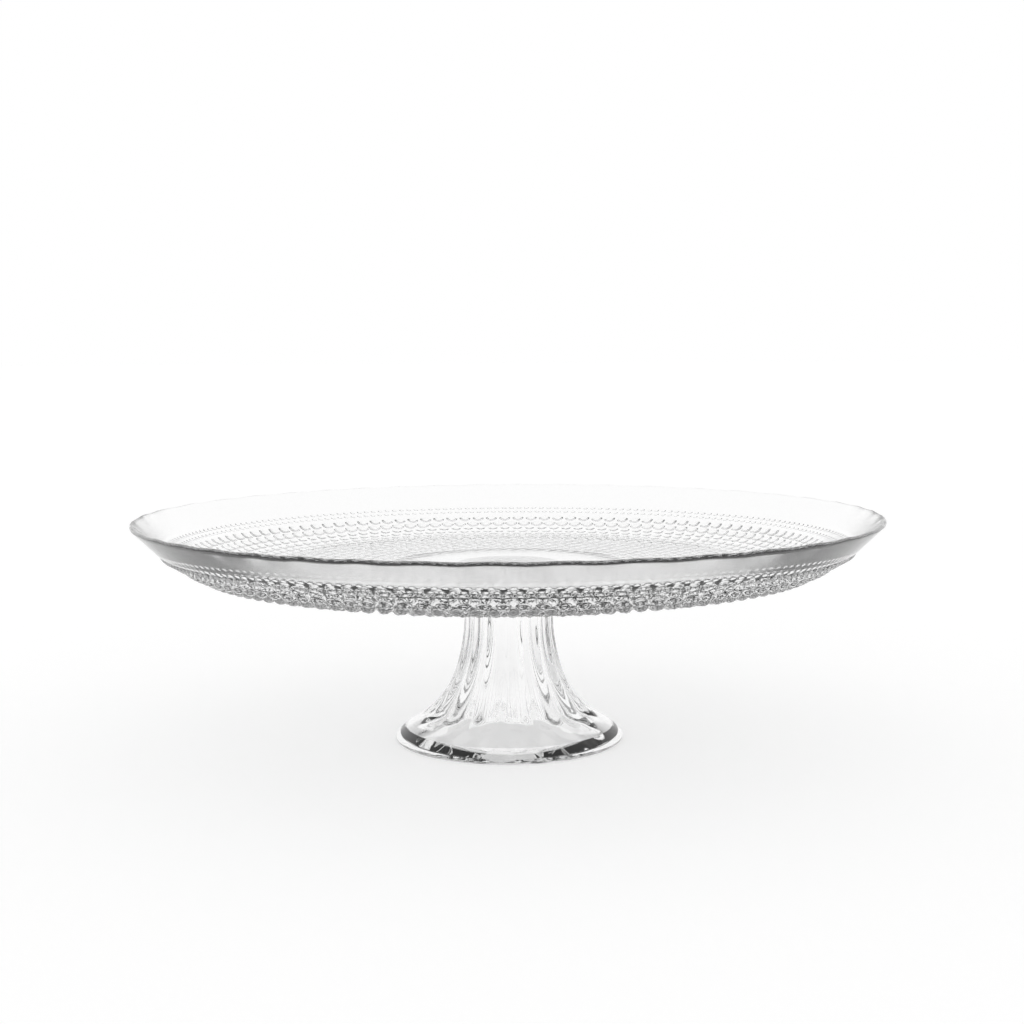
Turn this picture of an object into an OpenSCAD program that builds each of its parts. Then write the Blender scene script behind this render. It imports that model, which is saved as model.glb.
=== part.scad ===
// Footed cake plate in clear pressed glass: a shallow beaded dish on a hollow fluted foot.
// Origin: centre of the circle the foot stands on. +Z is up, along the axis of the dish.

/* [Overall] */
// Diameter of the dish over its rim
plate_d = 320; // [240:1:400]
// Height of the rim above the table
total_h = 98.4; // [75:0.1:160]

/* [Dish] */
// Depth of the dish from the rim to the flat underside
dish_h = 25.8; // [20:0.1:45]
// Thickness of the floor and of the wall behind the beads
floor_t = 5; // [4.8:0.1:8]
// Thickness of the glass at the foot of the flange
flange_t = 2.8; // [2.2:0.1:4.5]
// Distance below the flange over which the wall thickens, along the curve
thicken_w = 15; // [10:0.5:16]
// Width of the smooth flange, measured level
flange_w = 10.8; // [6:0.1:24]
// Radius of the curve between the flat underside and the flange
turn_r = 80; // [50:1:110]
// Width of the curve between the flat underside and the flange, measured level
turn_w = 45.2; // [30:0.1:48]
// Radius of the rounded rim edge
lip_r = 0.8; // [0.6:0.1:2.4]

/* [Beads] */
// Spacing of the beads round the outer ring
bead_pitch = 6.97; // [5:0.01:10]
// Radius of a bead
bead_r = 3.3; // [1.6:0.05:3.4]
// Part of a bead's radius that is sunk in the glass
bead_sink = 0.45; // [0.2:0.05:0.6]
// Distance of the outer ring from the foot of the flange, along the curve
bead_start = 13.9; // [4:0.1:20]
// Distance between the two rings, along the curve
bead_row_gap = 6.8; // [6:0.1:9]

/* [Foot and stem] */
// Diameter of the foot over its edge
foot_d = 99.6; // [80:0.2:140]
// Radius that the stem narrows to under the dish
stem_r = 18.7; // [15:0.1:26]
// Height over which the flare shrinks to about a third
flare_fall = 14.3; // [10:0.1:18]
// Radius of the rounded foot edge
edge_r = 1.3; // [1:0.1:2]
// Width of the sloping band between the flare and the foot edge
band_w = 4.5; // [3:0.1:7]
// Height at which the flare meets the band
band_h = 6; // [4:0.1:8]
// Width of the flat ring that the foot rests on
rest_w = 3.2; // [2:0.1:6]
// Radius of the hollow high in the stem
hollow_r = 6.4; // [5:0.1:11]
// Thickness of glass left over the top of the hollow
crown_t = 6; // [4:0.5:14]

/* [Flutes] */
// Number of flutes round the stem
flute_count = 16; // [8:1:18]
// Radius of the bent bar that hollows a flute
flute_r = 8; // [5:0.5:12]
// Radius of the ball that rounds a flute's lower end
flute_ball_r = 8.3; // [5.2:0.1:12.5]
// How far the bar sinks into the narrowest stem
flute_depth = 0.3; // [0.2:0.1:1.6]
// Radius that the bar is bent to
flute_bend = 58; // [50:0.1:80]
// Height at which the bar runs upright
flute_upright_h = 53; // [40:0.5:54]
// Angle of the bend from upright to the flute's lower end
flute_end = 36; // [28:1:38]
// Angle of the bend from upright to where the flute has faded out above
flute_fade = 14; // [8:1:18]
// Angle of the narrow ridge left between two flutes
ridge_turn = 0.8; // [0.4:0.1:3]
// Turn of the flutes about the axis
flute_turn = 6; // [0:0.5:44]

/* [Wafer] */
// Thickness of the glass wafer between stem and dish
wafer_t = 3; // [2:0.1:6]
// How far the wafer reaches past the stem
wafer_over = 4.3; // [1:0.1:8]

/* [Hidden] */
$fn = 72;

glass = [0.88, 0.92, 0.92];
arc_steps = 24;
flare_steps = 14;

plate_r = plate_d / 2;
under_z = total_h - dish_h;
floor_z = under_z + floor_t;
turn_start = plate_r - flange_w - turn_w;
turn_angle = asin(turn_w / turn_r);
turn_long = turn_r * turn_angle * PI / 180;
turn_centre = [turn_start, under_z + turn_r];
lip_centre = [plate_r - lip_r, total_h - lip_r];
flange_foot = turn_centre + turn_r * [sin(turn_angle), -cos(turn_angle)];
inner_foot = inner_wall(0);
flange_slope = atan2(lip_centre[1] - flange_foot[1], lip_centre[0] - flange_foot[0]);
inner_slope = atan2(lip_centre[1] - inner_foot[1], lip_centre[0] - inner_foot[0]);
bead_reach = turn_r - bead_r * bead_sink;
bead_count = round(2 * PI * (turn_start + bead_reach * sin(bead_lean(bead_start))) / bead_pitch);

foot_r = foot_d / 2;
stem_top = under_z - wafer_t;
band_run = [band_w - edge_r, band_h - edge_r];
band_slope = atan2(band_run[1], band_run[0]) - asin(edge_r / norm(band_run));
flare_spread = (foot_r - band_w - stem_r) * exp(band_h / flare_fall);
hollow_spread = foot_r - edge_r - rest_w - hollow_r;
hollow_h = stem_top - crown_t - hollow_r;
bend_x = stem_r + flute_r - flute_depth + flute_bend;
slice_w = foot_r * tan(180 / flute_count - ridge_turn / 2);

function bead_lean(along) = turn_angle - along / turn_r * 180 / PI;
function thickening(i) = (1 - cos(180 * min(1, turn_long * i / arc_steps / thicken_w))) / 2;
function inner_wall(i) =
    let (a = turn_angle * (1 - i / arc_steps), t = flange_t + (floor_t - flange_t) * thickening(i))
        turn_centre + (turn_r - t) * [sin(a), -cos(a)];
function flare(h) = stem_r + flare_spread * exp(-h / flare_fall);
function hollow(h) = hollow_r + hollow_spread * exp(-h / flare_fall);
function climb(low, high, i) = low + (high - low) * pow(i / flare_steps, 1.6);

function arc(centre, r, from, to, steps) = [
    for (i = [0:steps])
        let (a = from + (to - from) * i / steps)
            centre + r * [cos(a), sin(a)]
];

// The dish in section: flat underside, outer curve, flange, lip, inner curve, floor.
module plate_section() {
    polygon(concat(
        [[0, under_z]],
        arc(turn_centre, turn_r, -90, -90 + turn_angle, arc_steps),
        arc(lip_centre, lip_r, flange_slope - 80, inner_slope + 90, arc_steps),
        [for (i = [0:arc_steps]) inner_wall(i)],
        [[0, floor_z]]
    ));
}

// A ring of beads on the curved underside, "along" from the foot of the flange.
module bead_ring(along, shift) {
    lean = bead_lean(along);
    for (i = [0:bead_count - 1])
        rotate([0, 0, (i + shift) * 360 / bead_count])
            translate([turn_start + bead_reach * sin(lean), 0, under_z + turn_r - bead_reach * cos(lean)])
                sphere(r = bead_r);
}

module plate() {
    color(glass)
    union() {
        rotate_extrude() plate_section();
        bead_ring(bead_start, 0);
        bead_ring(bead_start + bead_row_gap, 0.5);
    }
}

module wafer() {
    color(glass)
    translate([0, 0, stem_top])
        cylinder(r = stem_r + wafer_over, h = wafer_t);
}

// Stem and foot in section, solid: the flare runs down into a sloping band and a rounded edge.
module pedestal_section() {
    polygon(concat(
        [[0, 0]],
        arc([foot_r - edge_r, edge_r], edge_r, -90, 90 - band_slope, arc_steps),
        [for (i = [0:flare_steps]) let (h = climb(band_h, stem_top, i)) [flare(h), h]],
        [[0, stem_top]]
    ));
}

// The hollow in section: open at the table, rounded at the top.
module hollow_section() {
    polygon(concat(
        [[0, -1], [hollow(0), -1]],
        [for (i = [0:flare_steps]) let (h = climb(0, hollow_h, i)) [hollow(h), h]],
        arc([0, hollow_h], hollow(hollow_h), 6, 90, arc_steps)
    ));
}

// The bar that hollows a flute, bent to follow the flare, with a ball at its lower end.
module flute_bar() {
    translate([bend_x, 0, flute_upright_h])
        rotate([90, flute_fade - 180, 0])
            union() {
                rotate_extrude(angle = flute_end + flute_fade)
                    translate([flute_bend, 0])
                        circle(r = flute_r);
                rotate([0, 0, flute_end + flute_fade])
                    translate([flute_bend, 0, 0])
                        sphere(r = flute_ball_r);
            }
}

// One flute's cut: the bar, kept to its own slice of the stem so that a ridge is left.
module flute_cut() {
    intersection() {
        flute_bar();
        linear_extrude(height = flute_upright_h + flute_bend * sin(flute_fade))
            polygon([[0, 0], [foot_r, -slice_w], [foot_r, slice_w]]);
    }
}

module pedestal() {
    color(glass)
    difference() {
        rotate_extrude() pedestal_section();
        rotate_extrude() hollow_section();
        for (i = [0:flute_count - 1])
            rotate([0, 0, i * 360 / flute_count + flute_turn - 90])
                flute_cut();
    }
}

plate();
wafer();
pedestal();
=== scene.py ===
"""A footed cake plate in clear pressed glass, shown on a white light table."""

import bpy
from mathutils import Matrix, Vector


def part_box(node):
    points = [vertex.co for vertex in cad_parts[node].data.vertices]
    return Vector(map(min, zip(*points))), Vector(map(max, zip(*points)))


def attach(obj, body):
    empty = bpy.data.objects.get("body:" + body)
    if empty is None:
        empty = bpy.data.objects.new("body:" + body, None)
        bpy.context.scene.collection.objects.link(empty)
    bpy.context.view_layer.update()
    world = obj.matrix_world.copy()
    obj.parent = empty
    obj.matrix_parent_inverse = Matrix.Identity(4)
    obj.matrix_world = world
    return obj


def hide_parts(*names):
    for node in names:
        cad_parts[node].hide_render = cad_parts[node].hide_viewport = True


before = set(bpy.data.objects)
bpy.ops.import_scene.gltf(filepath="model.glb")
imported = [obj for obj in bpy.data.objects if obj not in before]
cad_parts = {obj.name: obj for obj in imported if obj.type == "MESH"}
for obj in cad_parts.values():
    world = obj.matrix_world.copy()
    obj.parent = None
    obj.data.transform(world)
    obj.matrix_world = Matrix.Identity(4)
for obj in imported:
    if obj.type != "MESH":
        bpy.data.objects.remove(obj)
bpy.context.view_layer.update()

import math

import bmesh
import bpy
from mathutils import Matrix

# ---------------------------------------------------------------- camera
# A slightly long lens, low over the table and two thirds of a metre away, so the dish is seen a
# little from above.
eye_distance = 0.667
eye_height = 0.1654
look_down = math.radians(5.68)
tilt = math.radians(-0.35)
turn = math.radians(-0.15)


def place(name, data):
    """A new object in the scene for a mesh or a camera."""
    thing = bpy.data.objects.new(name, data)
    bpy.context.collection.objects.link(thing)
    return thing


camera_data = bpy.data.cameras.new("camera")
camera_data.sensor_width = 36.0
camera_data.lens = 54.26
camera_data.clip_start = 0.01
camera = place("camera", camera_data)
camera.matrix_world = (Matrix.Translation((0.0, -eye_distance, eye_height))
                       @ Matrix.Rotation(turn, 4, "Z")
                       @ Matrix.Rotation(math.radians(90) - look_down, 4, "X")
                       @ Matrix.Rotation(tilt, 4, "Z"))
bpy.context.scene.camera = camera
bpy.context.scene.view_settings.view_transform = "Standard"

# ---------------------------------------------------------------- studio
# Bright-field light, as glassware is shown: a table of translucent white acrylic, lit from below about
# as strongly as from above, under one wide soft dome that is even all round and a little dimmer
# overhead. The glass is drawn by its own grey edges and throws almost no shadow.
floor_half = 60.0
floor_glow = 0.5
dome_level = 1.0
dome_level_overhead = 0.8


def linear(hex_colour):
    """sRGB hex to the linear colour that a shader takes."""
    parts = [int(hex_colour[i:i + 2], 16) / 255 for i in (1, 3, 5)]
    return tuple(p / 12.92 if p <= 0.04045 else ((p + 0.055) / 1.055) ** 2.4 for p in parts) + (1.0,)


def add_node(tree, kind, settings=None, values=None, links=None):
    """One node with its settings, its socket values and its incoming links."""
    node = tree.nodes.new(kind)
    for name, value in (settings or {}).items():
        setattr(node, name, value)
    for name, value in (values or {}).items():
        node.inputs[name].default_value = value
    for name, source in (links or {}).items():
        tree.links.new(source, node.inputs[name])
    return node


world = bpy.data.worlds.new("white_studio")
world.use_nodes = True
world_tree = world.node_tree
world_tree.nodes.clear()
sky_place = add_node(world_tree, "ShaderNodeTexCoord")
sky_axes = add_node(world_tree, "ShaderNodeSeparateXYZ", links={"Vector": sky_place.outputs["Generated"]})
sky_level = add_node(world_tree, "ShaderNodeMapRange", {"clamp": True, "interpolation_type": "SMOOTHSTEP"},
                     {"From Min": 0.25, "From Max": 0.95, "To Min": dome_level,
                      "To Max": dome_level_overhead},
                     {"Value": sky_axes.outputs["Z"]})
sky = add_node(world_tree, "ShaderNodeBackground", values={"Color": linear("#FFFFFF")},
               links={"Strength": sky_level.outputs["Result"]})
add_node(world_tree, "ShaderNodeOutputWorld", links={"Surface": sky.outputs["Background"]})
bpy.context.scene.world = world

floor_mesh = bpy.data.meshes.new("studio_floor")
floor_mesh.from_pydata([(-floor_half, -floor_half, 0), (floor_half, -floor_half, 0),
                        (floor_half, floor_half, 0), (-floor_half, floor_half, 0)], [], [(0, 1, 2, 3)])
studio_floor = place("studio_floor", floor_mesh)
# Matt opal acrylic: it glows evenly and shows no gloss.
opal_acrylic = bpy.data.materials.new("opal_acrylic_matt")
opal_acrylic.use_nodes = True
acrylic_shader = opal_acrylic.node_tree.nodes["Principled BSDF"]
acrylic_shader.inputs["Base Color"].default_value = linear("#C8C8C8")
acrylic_shader.inputs["Emission Color"].default_value = linear("#FFFFFF")
acrylic_shader.inputs["Emission Strength"].default_value = floor_glow
acrylic_shader.inputs["Roughness"].default_value = 0.9
acrylic_shader.inputs["Specular IOR Level"].default_value = 0.0
floor_mesh.materials.append(opal_acrylic)

# ---------------------------------------------------------------- dish
# The dish is one pressing of clear soda-lime glass. A plunger leaves the inside smooth; the mould
# leaves rings of raised beads underneath. The rim is fire-polished by hand and a little uneven.
MM = 0.001
dish_low, dish_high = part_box("plate")
rim_r = (dish_high[0] - dish_low[0]) / 2 / MM
rim_z = dish_high[2] / MM
under_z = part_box("wafer")[1][2] / MM
floor_thick = 5.0
flange_thick = 2.8
thicken_wide = 15.0
flange_wide = 10.8
turn_r = 80.0
turn_wide = 45.2
lip_r = 0.8
joint_gap = 0.02
turn_start = rim_r - flange_wide - turn_wide
turn_z = under_z + turn_r
turn_lean = math.asin(turn_wide / turn_r)
turn_long = turn_r * turn_lean


def underside(s):
    """Radius, height and outward normal of the smooth underside, s mm in from the foot of the flange."""
    if s < turn_long:
        lean = turn_lean - s / turn_r
        n = (math.sin(lean), -math.cos(lean))
        return turn_start + turn_r * n[0], turn_z + turn_r * n[1], n
    return turn_start - (s - turn_long), under_z, (0.0, -1.0)


def inner_wall(lean):
    """The smooth inside of the curve: thin at the flange, thickening behind the beads."""
    down = min(1.0, turn_r * (turn_lean - lean) / thicken_wide)
    thick = flange_thick + (floor_thick - flange_thick) * (1 - math.cos(math.pi * down)) / 2
    return turn_start + (turn_r - thick) * math.sin(lean), turn_z - (turn_r - thick) * math.cos(lean)


# name, distance in, beads in the ring, ball radius, part sunk, stagger, half width of the band, corners
bead_rows = [
    ("a", 2.65, 234, 1.45, 0.30, 0.0, 2.0, 8),
    ("b", 7.29, 234, 1.45, 0.30, 0.5, 2.0, 8),
    ("c", 13.9, 123, 3.30, 0.45, 0.0, 3.25, 16),
    ("d", 20.7, 123, 3.30, 0.30, 0.5, 3.24, 16),
    ("e", 27.3, 123, 3.00, 0.50, 0.0, 3.0, 8),
    ("f", 33.6, 123, 2.85, 0.50, 0.5, 2.9, 8),
    ("g", 39.7, 123, 2.70, 0.52, 0.0, 2.8, 8),
    ("h", 45.7, 117, 2.70, 0.52, 0.0, 2.8, 8),
]
inner_rows = 9
inner_first = 4.0
inner_pitch = 6.0
inner_ball = 2.6
inner_sunk = 0.55
inner_half = 2.7
for i in range(inner_rows):
    inward = inner_first + inner_pitch * i
    beads = round(2 * math.pi * (turn_start - inward) / inner_pitch)
    bead_rows.append(("i%d" % i, turn_long + inward, beads, inner_ball, inner_sunk, 0.5, inner_half, 8))

# A bead's patch: its border in half widths, and the narrow collar that keeps the bead's outline crisp.
tile_border = [(0.5, 0), (0.5, -1), (0, -1), (-0.5, -1), (-0.5, 0), (-0.5, 1), (0, 1), (0.5, 1)]
collar_wide = 0.12
collar_share = 0.4


def bead_tile(name, along, count, ball, sunk, half, corners):
    """One bead on its own patch of the underside, at angle 0: the border points, the collar, the dome."""
    mesh = bpy.data.meshes.new("bead_" + name)
    row_r = underside(along)[0]
    pitch = 2 * math.pi / count

    def on_skin(angle, s, lift):
        r, z, n = underside(s)
        r, z = r + lift * n[0], z + lift * n[1]
        return (r * math.cos(angle) * MM, r * math.sin(angle) * MM, z * MM)

    verts = [on_skin(u * pitch, along + v * half, 0.0) for u, v in tile_border]
    faces = []
    open_angle = math.acos(sunk)
    foot = ball * math.sin(open_angle)
    collar = min(collar_wide, collar_share * (min(half, 0.5 * pitch * row_r) - foot))
    rings = [(foot + collar, 0.0)]
    domes = 3 if corners == 16 else 2
    for k in range(domes):
        polar = open_angle * (1 - k / domes)
        rings.append((ball * math.sin(polar), ball * (math.cos(polar) - sunk)))
    for out, lift in rings:
        for j in range(corners):
            a = 2 * math.pi * j / corners
            verts.append(on_skin(out * math.cos(a) / row_r, along - out * math.sin(a), lift))
    verts.append(on_skin(0.0, along, ball * (1 - sunk)))
    sides = len(tile_border)
    per = corners // sides
    for j in range(sides):
        near = [sides + (j * per + k) % corners for k in range(per + 1)]
        following = (j + 1) % sides
        if per == 1:
            faces.append((j, following, near[1], near[0]))
        else:
            faces.append((j, following, near[2], near[1]))
            faces.append((j, near[1], near[0]))
    for k in range(len(rings) - 1):
        for j in range(corners):
            a, b = sides + k * corners + j, sides + k * corners + (j + 1) % corners
            faces.append((a, b, b + corners, a + corners))
    last = sides + (len(rings) - 1) * corners
    for j in range(corners):
        faces.append((last + j, last + (j + 1) % corners, len(verts) - 1))
    mesh.from_pydata(verts, [], faces)
    return place("bead_" + name, mesh)


class Skin:
    """Rings of points joined by bands of faces, for anything turned about the upright axis."""

    def __init__(self):
        self.verts, self.faces, self.last = [], [], None

    def ring(self, r, z, count, shape=None):
        """A ring of points from angle 0: their angles, and the number of the first."""
        start = len(self.verts)
        angles = [2 * math.pi * i / count for i in range(count)]
        for a in angles:
            rr, zz = shape(a, r, z) if shape else (r, z)
            self.verts.append((rr * math.cos(a) * MM, rr * math.sin(a) * MM, zz * MM))
        return angles, start

    def band(self, one, two):
        """Faces between two rings: quads, or triangles where their counts differ."""
        (a1, s1), (a2, s2) = one, two
        n1, n2 = len(a1), len(a2)
        if n1 == n2:
            for i in range(n1):
                j = (i + 1) % n1
                self.faces.append((s1 + i, s1 + j, s2 + j, s2 + i))
            return
        ends1, ends2 = a1[1:] + [2 * math.pi], a2[1:] + [2 * math.pi]
        i = j = 0
        while i < n1 or j < n2:
            if j == n2 or (i < n1 and ends1[i] <= ends2[j]):
                self.faces.append((s1 + i, s1 + (i + 1) % n1, s2 + j % n2))
                i += 1
            else:
                self.faces.append((s1 + i % n1, s2 + (j + 1) % n2, s2 + j))
                j += 1

    def grow(self, r, z, count, shape=None):
        """Adds a ring and joins it to the last one."""
        ring = self.ring(r, z, count, shape)
        if self.last:
            self.band(self.last, ring)
        self.last = ring

    def cap(self, z):
        """Closes the last ring to a point on the axis."""
        angles, start = self.last
        self.verts.append((0.0, 0.0, z * MM))
        for i in range(len(angles)):
            self.faces.append((start + i, start + (i + 1) % len(angles), len(self.verts) - 1))

    def mesh(self, name):
        mesh = bpy.data.meshes.new(name)
        mesh.from_pydata(self.verts, [], self.faces)
        return mesh


rim_fade = 5.0
rim_in = 0.08
rim_down = 0.15


def rim_wave(a, r, z):
    """The rim's hand-made unevenness: ripples that wander, dying out down the flange."""
    share = min(1.0, max(0.0, (z - (rim_z - rim_fade)) / rim_fade)) ** 2
    wave = (0.5 * math.sin(97 * a + 1.3 * math.sin(5 * a))
            + 0.32 * math.sin(61 * a + 2.1 * math.sin(7 * a + 1.0))
            + 0.18 * math.sin(139 * a + 0.7))
    swell = math.sin(43 * a + 1.7 * math.sin(3 * a + 0.4))
    return r - share * rim_in * (1.0 - wave), z - share * rim_down * (1.0 - swell)


def between(start, end, t):
    """The point a share t of the way from start to end."""
    return start[0] + (end[0] - start[0]) * t, start[1] + (end[1] - start[1]) * t


flange_foot = underside(0.0)
inner_foot = inner_wall(turn_lean)
lip = (rim_r - lip_r, rim_z - lip_r)
lip_ease = 0.05
outer_slope = math.atan2(lip[1] - flange_foot[1], lip[0] - flange_foot[0])
inner_slope = math.atan2(lip[1] - inner_foot[1], lip[0] - inner_foot[0])
lip_from, lip_to = outer_slope - math.pi / 2 + lip_ease, inner_slope + math.pi / 2
lip_steps = 10
lip_points = [(lip[0] + lip_r * math.cos(lip_from + (lip_to - lip_from) * i / lip_steps),
               lip[1] + lip_r * math.sin(lip_from + (lip_to - lip_from) * i / lip_steps))
              for i in range(lip_steps + 1)]
rim_corners = 468
inside_corners = 234
floor_corners = 117
middle_corners = 120
outer_bands = 9
inner_bands = 8
curve_bands = 32
clear_step = 0.6
under_rings = (40.0, 30.0, 24.0, 12.0, 4.0)
floor_rings = (90.0, 70.0, 50.0, 30.0, 15.0, 5.0)

# Underside, from the flange in to the middle: narrow bands between the patches that carry the beads.
skin = Skin()
skin.grow(*flange_foot[:2], rim_corners)
flange_ring = skin.last
for name, along, count, ball, sunk, shift, half, corners in bead_rows:
    skin.grow(*underside(along - half)[:2], 2 * count)
    skin.last = skin.ring(*underside(along + half)[:2], 2 * count)
clear_r = underside(along + half)[0]
for r in (clear_r - clear_step,) + under_rings:
    skin.grow(r, under_z + joint_gap, middle_corners)
skin.cap(under_z + joint_gap)

# Flange, lip and the smooth inside.
skin.last = flange_ring
for i in range(1, outer_bands):
    skin.grow(*between(flange_foot, lip_points[0], i / outer_bands), rim_corners, rim_wave)
for r, z in lip_points:
    skin.grow(r, z, rim_corners, rim_wave)
for i in range(1, inner_bands):
    skin.grow(*between(lip_points[-1], inner_foot, i / inner_bands), rim_corners, rim_wave)
for i in range(curve_bands + 1):
    skin.grow(*inner_wall(turn_lean * (1 - i / curve_bands)), inside_corners)
floor_z = under_z + floor_thick
for r in floor_rings:
    skin.grow(r, floor_z, floor_corners)
skin.cap(floor_z)
dish_mesh = skin.mesh("dish_skin")

# Clear soda-lime glass, pressed and fire-polished: a wet gloss, with the faint ripple of a cooled
# pressing in its reflections and almost no colour of its own. The flange's polish is a little softer.
ripple_mm = 9.0
satin_from = rim_r - 12.0
satin_full = rim_r - 9.5
satin_rough = 0.1
pressed_glass = bpy.data.materials.new("soda_lime_glass_pressed")
pressed_glass.use_nodes = True
glass_tree = pressed_glass.node_tree
glass_shader = glass_tree.nodes["Principled BSDF"]
glass_shader.inputs["Base Color"].default_value = linear("#FFFFFF")
glass_shader.inputs["Roughness"].default_value = 0.0
glass_shader.inputs["IOR"].default_value = 1.52
glass_shader.inputs["Transmission Weight"].default_value = 1.0
glass_place = add_node(glass_tree, "ShaderNodeTexCoord")
glass_axes = add_node(glass_tree, "ShaderNodeSeparateXYZ", links={"Vector": glass_place.outputs["Object"]})
glass_flat = add_node(glass_tree, "ShaderNodeCombineXYZ",
                      links={"X": glass_axes.outputs["X"], "Y": glass_axes.outputs["Y"]})
glass_radius = add_node(glass_tree, "ShaderNodeVectorMath", {"operation": "LENGTH"},
                        links={0: glass_flat.outputs["Vector"]})
flange_satin = add_node(glass_tree, "ShaderNodeMapRange", {"clamp": True, "interpolation_type": "SMOOTHSTEP"},
                        {"From Min": satin_from * MM, "From Max": satin_full * MM,
                         "To Min": 0.0, "To Max": satin_rough},
                        {"Value": glass_radius.outputs["Value"]})
glass_tree.links.new(flange_satin.outputs["Result"], glass_shader.inputs["Roughness"])
ripple = add_node(glass_tree, "ShaderNodeTexNoise",
                  values={"Scale": 1.0 / (ripple_mm * MM), "Detail": 2.0, "Roughness": 0.5},
                  links={"Vector": glass_place.outputs["Object"]})
glass_body = add_node(glass_tree, "ShaderNodeVolumeAbsorption",
                      values={"Color": linear("#C8C8C8"), "Density": 3.0})
glass_tree.links.new(glass_body.outputs["Volume"], glass_tree.nodes["Material Output"].inputs["Volume"])
ripple_bump = add_node(glass_tree, "ShaderNodeBump", values={"Strength": 0.06, "Distance": 0.15 * MM},
                       links={"Height": ripple.outputs["Fac"]})
glass_tree.links.new(ripple_bump.outputs["Normal"], glass_shader.inputs["Normal"])

# One ring of beads: copies of a bead's patch, turned about the axis and welded into the open bands.
patch_weld = 0.004
ring_tree = bpy.data.node_groups.new("bead_ring", "GeometryNodeTree")
for label, kind in (("Dish", "NodeSocketGeometry"), ("Bead", "NodeSocketObject"),
                    ("Beads in ring", "NodeSocketInt"), ("Stagger", "NodeSocketFloat"),
                    ("Glass", "NodeSocketMaterial")):
    ring_tree.interface.new_socket(label, in_out="INPUT", socket_type=kind)
ring_tree.interface.new_socket("Dish", in_out="OUTPUT", socket_type="NodeSocketGeometry")
ring_in = add_node(ring_tree, "NodeGroupInput")
bead_shape = add_node(ring_tree, "GeometryNodeObjectInfo", links={"Object": ring_in.outputs["Bead"]})
bead_spots = add_node(ring_tree, "GeometryNodePoints", links={"Count": ring_in.outputs["Beads in ring"]})
bead_number = add_node(ring_tree, "GeometryNodeInputIndex")
bead_step = add_node(ring_tree, "ShaderNodeMath", {"operation": "ADD"},
                     links={0: bead_number.outputs["Index"], 1: ring_in.outputs["Stagger"]})
bead_share = add_node(ring_tree, "ShaderNodeMath", {"operation": "DIVIDE"},
                      links={0: bead_step.outputs[0], 1: ring_in.outputs["Beads in ring"]})
bead_angle = add_node(ring_tree, "ShaderNodeMath", {"operation": "MULTIPLY"}, {1: 2 * math.pi},
                      {0: bead_share.outputs[0]})
bead_turn = add_node(ring_tree, "FunctionNodeAxisAngleToRotation", values={"Axis": (0, 0, 1)},
                     links={"Angle": bead_angle.outputs[0]})
bead_set = add_node(ring_tree, "GeometryNodeInstanceOnPoints",
                    links={"Points": bead_spots.outputs[0], "Instance": bead_shape.outputs["Geometry"],
                           "Rotation": bead_turn.outputs["Rotation"]})
ring_join = add_node(ring_tree, "GeometryNodeJoinGeometry")
ring_tree.links.new(ring_in.outputs["Dish"], ring_join.inputs[0])
ring_tree.links.new(bead_set.outputs["Instances"], ring_join.inputs[0])
ring_real = add_node(ring_tree, "GeometryNodeRealizeInstances", links={"Geometry": ring_join.outputs[0]})
ring_merge = add_node(ring_tree, "GeometryNodeMergeByDistance", values={"Distance": patch_weld * MM},
                      links={"Geometry": ring_real.outputs[0]})
ring_glass = add_node(ring_tree, "GeometryNodeSetMaterial",
                      links={"Geometry": ring_merge.outputs[0], "Material": ring_in.outputs["Glass"]})
add_node(ring_tree, "NodeGroupOutput", links={"Dish": ring_glass.outputs[0]})
ring_sockets = {item.name: item.identifier for item in ring_tree.interface.items_tree
                if item.in_out == "INPUT"}

blank = place("dish_blank", dish_mesh)
tiles = []
for name, along, count, ball, sunk, shift, half, corners in bead_rows:
    tile = bead_tile(name, along, count, ball, sunk, half, corners)
    tiles.append(tile)
    ring_step = blank.modifiers.new("beads_" + name, "NODES")
    ring_step.node_group = ring_tree
    ring_step[ring_sockets["Bead"]] = tile
    ring_step[ring_sockets["Beads in ring"]] = count
    ring_step[ring_sockets["Stagger"]] = shift
    ring_step[ring_sockets["Glass"]] = pressed_glass
bpy.context.view_layer.update()
finished = bpy.data.meshes.new_from_object(blank.evaluated_get(bpy.context.evaluated_depsgraph_get()))
for thing in tiles + [blank]:
    bpy.data.objects.remove(thing)

skin_weld = 0.002


def close_and_smooth(mesh):
    """Welds the seams, turns every face outwards and shades it smooth."""
    work = bmesh.new()
    work.from_mesh(mesh)
    bmesh.ops.remove_doubles(work, verts=work.verts, dist=skin_weld * MM)
    bmesh.ops.recalc_face_normals(work, faces=work.faces)
    for face in work.faces:
        face.smooth = True
    work.to_mesh(mesh)
    work.free()


finished.name = "dish"
close_and_smooth(finished)
dish = place("dish", finished)
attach(dish, "root")
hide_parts("plate")

# ---------------------------------------------------------------- wafer
# A flat gather of hot glass joins the dish to the foot, its edge rounded by the heat.
# It is the same clear glass, and has no mould marks of its own.
wafer_low, wafer_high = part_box("wafer")
wafer_r = wafer_high[0] / MM
wafer_top, wafer_bottom = wafer_high[2] / MM, wafer_low[2] / MM
bulge = 0.9
wafer_corners = 96
wafer_inner, wafer_middle = 4.0, 12.0
edge = [(wafer_r - bulge + bulge * math.sin(math.radians(a)),
         (wafer_top + wafer_bottom) / 2 + (wafer_top - wafer_bottom) / 2 * math.cos(math.radians(a)))
        for a in range(0, 181, 20)]
skin = Skin()
skin.grow(wafer_inner, wafer_top, wafer_corners)
skin.cap(wafer_top)
for r, z in [(wafer_middle, wafer_top)] + edge + [(wafer_middle, wafer_bottom), (wafer_inner, wafer_bottom)]:
    skin.grow(r, z, wafer_corners)
skin.cap(wafer_bottom)
wafer_mesh = skin.mesh("wafer")
wafer_mesh.materials.append(pressed_glass)
close_and_smooth(wafer_mesh)
wafer_piece = place("wafer_piece", wafer_mesh)
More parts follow.
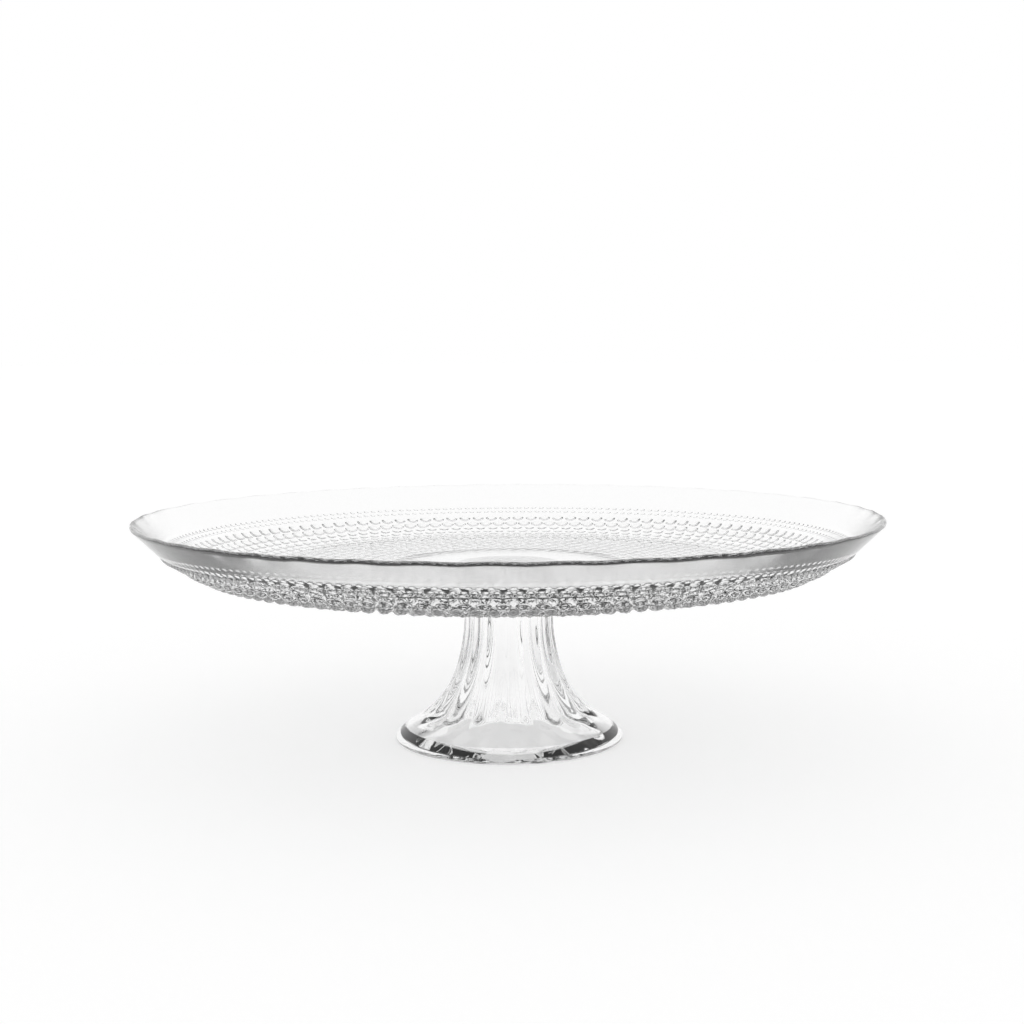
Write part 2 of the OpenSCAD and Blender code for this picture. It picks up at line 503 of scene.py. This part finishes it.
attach(wafer_piece, "root")
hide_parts("wafer")

# ---------------------------------------------------------------- foot
# The foot is a second pressing: a hollow stem that flares out to a sloping band and a thin edge.
# Hollowed flutes run down it from the dish and end in round arches on the flare.
foot_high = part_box("pedestal")[1]
foot_r = foot_high[0] / MM
stem_top = foot_high[2] / MM - joint_gap
stem_r = 18.7
flare_fall = 14.3
edge_r = 1.3
band_wide = 4.5
band_h = 6.0
rest_wide = 3.2
hollow_r = 6.4
crown = 6.0
flutes = 16
flute_turn = math.radians(-90 + 6)
flute_r = 8.0
flute_ball_r = 8.3
flute_depth = 0.3
flute_bend = 58.0
flute_upright_h = 53.0
flute_end = math.radians(36)
ridge_soft = 0.7
band_slope = (math.atan2(band_h - edge_r, band_wide - edge_r)
              - math.asin(edge_r / math.hypot(band_h - edge_r, band_wide - edge_r)))
flare_spread = (foot_r - band_wide - stem_r) * math.exp(band_h / flare_fall)
hollow_spread = foot_r - edge_r - rest_wide - hollow_r
hollow_h = foot_high[2] / MM - crown - hollow_r
bend_x = stem_r + flute_r - flute_depth + flute_bend


def flare(h):
    return stem_r + flare_spread * math.exp(-h / flare_fall)


def hollow(h):
    return hollow_r + hollow_spread * math.exp(-h / flare_fall)


def bar_depth(a, r, z):
    """How far inside the bent flute bar a point is: above 0 it is cut away."""
    step = 2 * math.pi / flutes
    off = (a - flute_turn + step / 2) % step - step / 2
    across = r * math.sin(off)
    x, up = bend_x - r * math.cos(off), flute_upright_h - z
    if math.atan2(up, x) > flute_end:
        x, up = x - flute_bend * math.cos(flute_end), up - flute_bend * math.sin(flute_end)
        return flute_ball_r - math.sqrt(x * x + up * up + across * across)
    return flute_r - math.hypot(math.hypot(x, up) - flute_bend, across)


def fluted(normal):
    """Sinks a point along the surface's normal by its depth in the flute, the ridges softened by fire."""
    def shape(a, r, z):
        inside = bar_depth(a, r, z)
        sink = (inside + math.hypot(inside, ridge_soft)) / 2
        return r - normal[0] * sink, z - normal[1] * sink
    return shape


# The rings of points crowd towards the table, where the flare turns quickest.
flute_corners = 720
flute_bands = 84
top_corners = 90
top_rings = (3.0, 8.0, stem_r - 3.2)
flute_crowding = 1.7
edge_corners = 240
edge_steps = 12
hollow_corners = 180
hollow_bands = 30
hollow_crowding = 1.6
dome_corners = 60
dome_bands = 8
skin = Skin()
skin.grow(top_rings[0], stem_top, top_corners)
skin.cap(stem_top)
for r in top_rings[1:]:
    skin.grow(r, stem_top, top_corners)
for i in range(flute_bands + 1):
    h = band_h + (stem_top - band_h) * ((flute_bands - i) / flute_bands) ** flute_crowding
    slope = -flare_spread / flare_fall * math.exp(-h / flare_fall)
    size = math.hypot(1.0, slope)
    skin.grow(flare(h), h, flute_corners, fluted((1 / size, -slope / size)))
for i in range(edge_steps + 1):
    a = math.pi / 2 - band_slope - (math.pi - band_slope) * i / edge_steps
    skin.grow(foot_r - edge_r + edge_r * math.cos(a), edge_r + edge_r * math.sin(a), edge_corners)
for i in range(hollow_bands + 1):
    h = hollow_h * (i / hollow_bands) ** hollow_crowding
    skin.grow(hollow(h), h, hollow_corners)
dome_r = hollow(hollow_h)
for i in range(1, dome_bands):
    a = math.radians(90 * i / dome_bands)
    skin.grow(dome_r * math.cos(a), hollow_h + dome_r * math.sin(a), dome_corners)
skin.cap(hollow_h + dome_r)
foot_mesh = skin.mesh("foot")
foot_mesh.materials.append(pressed_glass)
close_and_smooth(foot_mesh)
foot = place("foot", foot_mesh)
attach(foot, "root")
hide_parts("pedestal")
